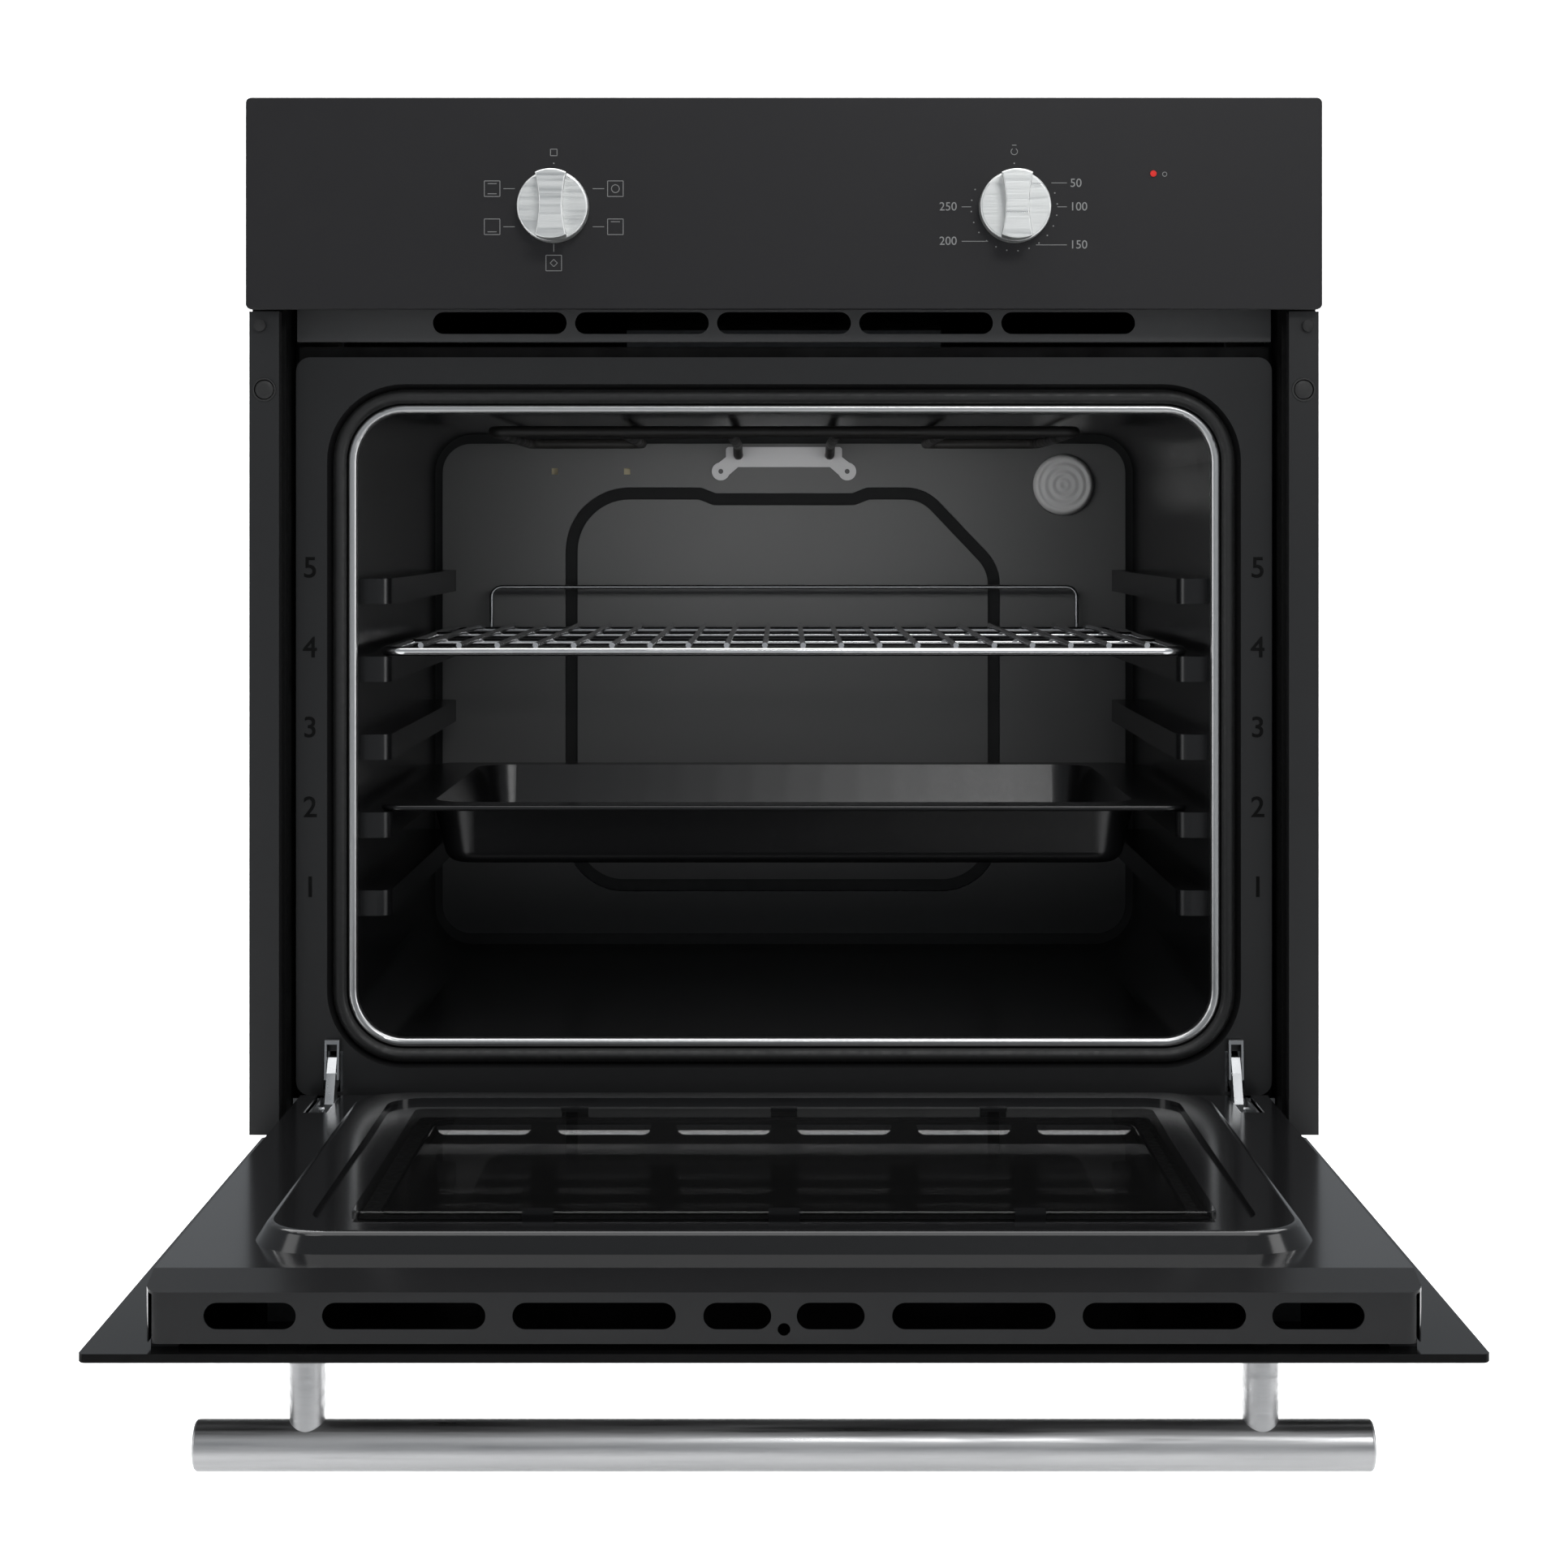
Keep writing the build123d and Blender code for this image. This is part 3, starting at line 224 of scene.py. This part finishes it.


def math_node(tree, operation, *values):
    """A math node whose inputs are sockets or numbers."""
    made = tree.nodes.new("ShaderNodeMath")
    made.operation = operation
    for slot_in, value in zip(made.inputs, values):
        if isinstance(value, (int, float)):
            slot_in.default_value = value
        else:
            tree.links.new(value, slot_in)
    return made.outputs[0]


def mouth_lip(made):
    """Bright metal colour on the rolled lip round the mouth, a painted highlight: the lighter metallic
    colour stands in for the highlight on the lip. That it is bare metal is a guess.
    """
    tree = made.node_tree
    place = tree.nodes.new("ShaderNodeTexCoord")
    split = tree.nodes.new("ShaderNodeSeparateXYZ")
    tree.links.new(place.outputs["Object"], split.inputs["Vector"])
    height = math_node(tree, "SUBTRACT", split.outputs["Z"], MOUTH_CENTRE_Z)
    beyond = []
    for value, half in ((split.outputs["X"], MOUTH_HALF[0]), (height, MOUTH_HALF[1])):
        reach = math_node(tree, "SUBTRACT", math_node(tree, "ABSOLUTE", value), half - MOUTH_RADIUS)
        beyond.append(math_node(tree, "MAXIMUM", reach, 0.0))
    squares = [math_node(tree, "MULTIPLY", b, b) for b in beyond]
    far = math_node(tree, "SQRT", math_node(tree, "ADD", *squares))
    near = math_node(tree, "LESS_THAN", far, MOUTH_RADIUS + LIP_HIGHLIGHT_WIDTH)
    front = math_node(tree, "LESS_THAN", split.outputs["Y"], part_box("cavity_front_plate")[0].y + LIP_HIGHLIGHT_DEPTH)
    inside = math_node(tree, "GREATER_THAN", far, MOUTH_RADIUS - 0.002)
    painted_light_mask = math_node(tree, "MULTIPLY", math_node(tree, "MULTIPLY", near, front), inside)
    # painted highlight: lighter metallic colour on the lip round the mouth
    recolour(tree, painted_light_mask, (0.6, 0.6, 0.6))
    tree.links.new(painted_light_mask, tree.nodes["Principled BSDF"].inputs["Metallic"])
    return made


def lamp_material():
    """Ribbed lamp glass: rings pressed round the lamp's axis."""
    made = surface("lamp_glass", (0.55, 0.55, 0.55), 0.2, coat=0.5, alpha=0.85)
    tree = made.node_tree
    low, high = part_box("lamp_glass")
    centre = (low + high) / 2
    place = tree.nodes.new("ShaderNodeTexCoord")
    offset = node(tree, "ShaderNodeVectorMath")
    offset.operation = "SUBTRACT"
    offset.inputs[1].default_value = (centre.x, centre.y, centre.z)
    rings = tree.nodes.new("ShaderNodeTexWave")
    rings.wave_type = "RINGS"
    rings.rings_direction = "Y"
    rings.inputs["Scale"].default_value = 60.0
    ridge = node(tree, "ShaderNodeBump", Strength=0.6, Distance=0.001)
    tree.links.new(place.outputs["Object"], offset.inputs[0])
    tree.links.new(offset.outputs["Vector"], rings.inputs["Vector"])
    tree.links.new(rings.outputs["Fac"], ridge.inputs["Height"])
    tree.links.new(ridge.outputs["Normal"], tree.nodes["Principled BSDF"].inputs["Normal"])
    return made


def dress_cad(materials):
    """Gives every CAD node the material of its slot."""
    for part in frame["record"]["subparts"]:
        mesh = frame["nodes"][part["node"]].data
        mesh.materials.clear()
        mesh.materials.append(materials[part["material_slot"]])


# ---- printed marks ------------------------------------------------------------------------
def flat_mesh(name, quads, y_face):
    """Thin printed quads facing the user, each given as four (x, z) corners."""
    corners = [(x, y_face, z) for quad in quads for x, z in quad]
    faces = [tuple(range(4 * n, 4 * n + 4)) for n in range(len(quads))]
    mesh = bpy.data.meshes.new(name)
    mesh.from_pydata(corners, [], faces)
    made = bpy.data.objects.new(name, mesh)
    bpy.context.collection.objects.link(made)
    return made


def stroke(x0, z0, x1, z1, width=0.00035):
    """A straight printed line as one quad."""
    along = Vector((x1 - x0, z1 - z0)).normalized() * width / 2
    side = Vector((-along.y, along.x))
    start, end = Vector((x0, z0)), Vector((x1, z1))
    return [tuple(start + side), tuple(start - side), tuple(end - side), tuple(end + side)]


def outline(x, z, half):
    """Four strokes round a square."""
    left, right, low, high = x - half, x + half, z - half, z + half
    return [
        stroke(left, low, right, low), stroke(right, low, right, high),
        stroke(right, high, left, high), stroke(left, high, left, low),
    ]


def ring(x, z, radius, start=0, end=360, step=30):
    """An arc of short strokes, angles in degrees clockwise from the top."""
    def at(angle):
        turn = math.radians(angle)
        return x + radius * math.sin(turn), z + radius * math.cos(turn)
    return [stroke(*at(a), *at(a + step)) for a in range(start, end, step)]


def dot(x, z, size=0.0007):
    """A small square dot."""
    return [stroke(x - size / 2, z, x + size / 2, z, size)]


ICON = 0.0043                  # half the side of a heating-mode square
DOT_RING = 0.0238              # radius of the scale's dots
TOP_DOT = 0.0245               # height of the zero dot over the knob's centre
SCALE_SIZE = 0.0066
LEVEL_X = 0.267                # shelf numbers, either side of the mouth
LEVEL_Z = 0.137
LEVEL_PITCH = 0.045
LEVEL_SIZE = 0.0165
LEVEL_RAISED = 0.0003
KNOB_X = 0.127
KNOB_Z = 0.5165


def function_marks():
    """Five heating modes round the left-hand knob, drawn as plain squares."""
    x = -KNOB_X
    left, right, upper, lower = x - 0.034, x + 0.034, KNOB_Z + 0.0105, KNOB_Z - 0.0105
    marks = []
    for icon_x, icon_z in ((left, upper), (right, upper), (left, lower), (right, lower)):
        marks += outline(icon_x, icon_z, ICON)
        inward = 1 if icon_x < x else -1
        marks.append(stroke(icon_x + inward * 0.0062, icon_z, icon_x + inward * 0.0125, icon_z))
    marks.append(stroke(left - 0.0025, upper + 0.0028, left + 0.0025, upper + 0.0028))
    marks.append(stroke(left - 0.0025, upper - 0.0028, left + 0.0025, upper - 0.0028))
    marks.append(stroke(left - 0.0025, lower - 0.0028, left + 0.0025, lower - 0.0028))
    marks.append(stroke(right - 0.0025, lower + 0.0028, right + 0.0025, lower + 0.0028))
    marks += ring(right, upper, 0.0022)
    bottom = KNOB_Z - 0.0305
    marks += outline(x, bottom, ICON)
    marks += ring(x, bottom, 0.002, 0, 360, 90)
    marks.append(stroke(x, bottom + 0.0062, x, bottom + 0.0105))
    marks += outline(x, KNOB_Z + 0.0305, 0.0018)
    marks += dot(x, KNOB_Z + TOP_DOT)
    return marks


def thermostat_marks():
    """Scale dots, leader lines and open rings round the right-hand knob."""
    x = KNOB_X
    marks = dot(x, KNOB_Z + TOP_DOT)
    for angle in range(70, 296, 15):
        turn = math.radians(angle)
        marks += dot(x + DOT_RING * math.sin(turn), KNOB_Z + DOT_RING * math.cos(turn))
    for side, height, reach in ((1, 0.0137, 0.0205), (1, 0.0005, DOT_RING), (1, -0.0205, 0.012),
                                (-1, 0.0005, DOT_RING), (-1, -0.0185, 0.0145)):
        marks.append(stroke(x + side * reach, KNOB_Z + height, x + side * 0.029, KNOB_Z + height))
    marks += ring(x, KNOB_Z + 0.031, 0.0018, 30, 330, 30)
    marks.append(stroke(x - 0.0012, KNOB_Z + 0.0345, x + 0.0012, KNOB_Z + 0.0345))
    marks += ring(x + 0.083, KNOB_Z + 0.0185, 0.0012)
    return marks


def text(name, words, x, y_face, z, size, depth=0.0):
    """Upright lettering facing the user, turned into a mesh."""
    curve = bpy.data.curves.new(name, "FONT")
    curve.body = words
    curve.size = size
    curve.extrude = depth
    curve.bevel_depth = depth / 2
    curve.align_x = "CENTER"
    curve.align_y = "CENTER"
    made = bpy.data.objects.new(name, curve)
    made.location = (x, y_face, z)
    made.rotation_euler = (math.pi / 2, 0.0, 0.0)
    bpy.context.collection.objects.link(made)
    bpy.context.view_layer.update()
    mesh = bpy.data.meshes.new_from_object(made.evaluated_get(bpy.context.evaluated_depsgraph_get()))
    mesh.transform(made.matrix_world)
    bpy.data.objects.remove(made)
    solid = bpy.data.objects.new(name, mesh)
    bpy.context.collection.objects.link(solid)
    return solid


def add_prints(print_material):
    """All marks on the fascia."""
    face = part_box("fascia_glass")[0].y - PRINT_GAP
    made = [flat_mesh("function_marks", function_marks(), face),
            flat_mesh("thermostat_marks", thermostat_marks(), face)]
    for words, x, z in (("50", 0.161, 0.530), ("100", 0.1625, 0.517), ("150", 0.1625, 0.496),
                        ("200", 0.0905, 0.498), ("250", 0.0905, 0.517)):
        made.append(text(f"scale_{words}", words, x, face, z, SCALE_SIZE))
    for piece in made:
        piece.data.materials.clear()
        piece.data.materials.append(print_material)
        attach(piece, "oven")


def add_level_numbers(dark_material):
    """Raised shelf-level numbers pressed in the cavity's front plate."""
    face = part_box("cavity_front_plate")[0].y
    for level in range(1, 6):
        for side, word in ((-1, "left"), (1, "right")):
            height = LEVEL_Z + LEVEL_PITCH * (level - 1)
            piece = text(
                f"level_{level}_{word}", str(level), side * LEVEL_X, face, height, LEVEL_SIZE,
                LEVEL_RAISED)
            piece.data.materials.clear()
            piece.data.materials.append(dark_material)
            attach(piece, "oven")


def add_screw_caps(plastic):
    """Domed caps over the cabinet screws, one in each column, with a groove round the dome."""
    cup_radius, radius, seat, around = 0.0066, 0.0059, 0.0009, 40
    low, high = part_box("screw_cups")
    for side, word in ((-1, "left"), (1, "right")):
        centre = Vector((side * (high.x - cup_radius), low.y + seat, (low.z + high.z) / 2))
        rim = [(radius, -0.0002), (radius * 0.93, 0.001), (radius * 0.86, -0.0003),
               (radius * 0.6, -0.0007), (0.0006, -0.0009)]
        points, faces = [], []
        for step in range(around):
            turn = 2 * math.pi * step / around
            spoke = (math.cos(turn), math.sin(turn))
            points += [centre + Vector((r * spoke[0], y, r * spoke[1])) for r, y in rim]
        rows = len(rim)
        for step in range(around):
            here, there = rows * step, rows * ((step + 1) % around)
            faces += [(here + n, here + n + 1, there + n + 1, there + n) for n in range(rows - 1)]
        faces.append([rows * step + rows - 1 for step in range(around)])
        mesh = bpy.data.meshes.new(f"screw_cap_{word}")
        mesh.from_pydata(points, [], faces)
        mesh.materials.append(plastic)
        cap = bpy.data.objects.new(f"screw_cap_{word}", mesh)
        bpy.context.collection.objects.link(cap)
        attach(cap, "oven")


# ---- light, floor and camera ----------------------------------------------------------------
def stage_material():
    """Pale matt paper for the floor and the backdrop."""
    return surface("pale_floor", (0.93, 0.93, 0.93), 0.9, wear=0.01, bump=0.0)


def stage_sheet(name, corners, seen_in_gloss):
    """One flat sheet of the studio: the floor or the backdrop."""
    mesh = bpy.data.meshes.new(name)
    mesh.from_pydata(corners, [], [(0, 1, 2, 3)])
    mesh.materials.append(stage_material())
    sheet = bpy.data.objects.new(name, mesh)
    sheet.visible_glossy = seen_in_gloss
    bpy.context.collection.objects.link(sheet)


def add_stage():
    """Pale floor, well below the built-in oven, and a backdrop behind it."""
    floor_z, back_y, half, top = -0.5, 3.0, 7.0, 6.0
    stage_sheet("floor", [(-half, -half, floor_z), (half, -half, floor_z), (half, back_y, floor_z),
                          (-half, back_y, floor_z)], True)
    stage_sheet("backdrop", [(-half, back_y, floor_z), (half, back_y, floor_z), (half, back_y, top),
                             (-half, back_y, top)], False)


def area_light(name, place, aim, size, power):
    """A soft rectangular light pointed at a spot."""
    data = bpy.data.lights.new(name, "AREA")
    data.shape = "RECTANGLE"
    data.size, data.size_y = size
    data.energy = power
    made = bpy.data.objects.new(name, data)
    made.location = place
    direction = Vector(aim) - Vector(place)
    made.rotation_euler = direction.to_track_quat("-Z", "Y").to_euler()
    bpy.context.collection.objects.link(made)
    return made


def add_lights():
    """Soft lights round the oven, one inside the cavity, and two that wash the studio white."""
    glow = area_light("cavity_glow", (0.0, -0.02, 0.375), (0.0, 0.15, 0.27), (0.3, 0.06), 0.36)
    glow.visible_camera = False
    glow.visible_glossy = False
    area_light("overhead", (0.0, -1.1, 2.3), (0.0, -0.1, 0.2), (2.4, 1.2), 20.0)
    area_light("left_side", (-2.2, -1.3, 0.9), (0.0, 0.0, 0.25), (0.8, 2.0), 10.0)
    area_light("right_side", (2.2, -1.3, 0.9), (0.0, 0.0, 0.25), (0.8, 2.0), 14.0)
    area_light("cavity_fill", (0.5, -2.6, 1.5), (0.0, 0.1, 0.3), (0.8, 0.5), 11.0)
    area_light("backdrop_wash", (0.0, 1.2, 2.6), (0.0, 3.0, 0.6), (5.0, 1.0), 190.0)
    area_light("floor_wash", (0.0, 0.6, 2.8), (0.0, 1.2, 0.0), (5.0, 2.0), 90.0)
    world = bpy.data.worlds.new("studio")
    world.use_nodes = True
    world.node_tree.nodes["Background"].inputs["Color"].default_value = (0.9, 0.95, 1.0, 1.0)
    world.node_tree.nodes["Background"].inputs["Strength"].default_value = 0.32
    bpy.context.scene.world = world


def add_camera():
    """Level camera straight in front of the oven, with the lens shifted down a little."""
    data = bpy.data.cameras.new("camera")
    data.lens = 72.84
    data.sensor_width = 36.0
    data.shift_y = -0.1646
    made = bpy.data.objects.new("camera", data)
    made.location = (0.0, -2.049, 0.341)
    made.rotation_euler = (math.pi / 2, 0.0, 0.0)
    bpy.context.collection.objects.link(made)
    bpy.context.scene.camera = made


def clear_startup():
    """Removes the cube, camera and light of a default Blender file."""
    for leftover in [o for o in bpy.data.objects if o.type in ("CAMERA", "LIGHT") or o.name == "Cube"]:
        bpy.data.objects.remove(leftover)


clear_startup()
materials = make_materials()
dress_cad(materials)
add_prints(surface("print_white", PRINT_WHITE, 0.5, bump=0.0))
add_level_numbers(materials["black_duct"])
add_screw_caps(materials["black_plastic"])
add_stage()
add_lights()
add_camera()
bpy.context.scene.view_settings.view_transform = "Standard"
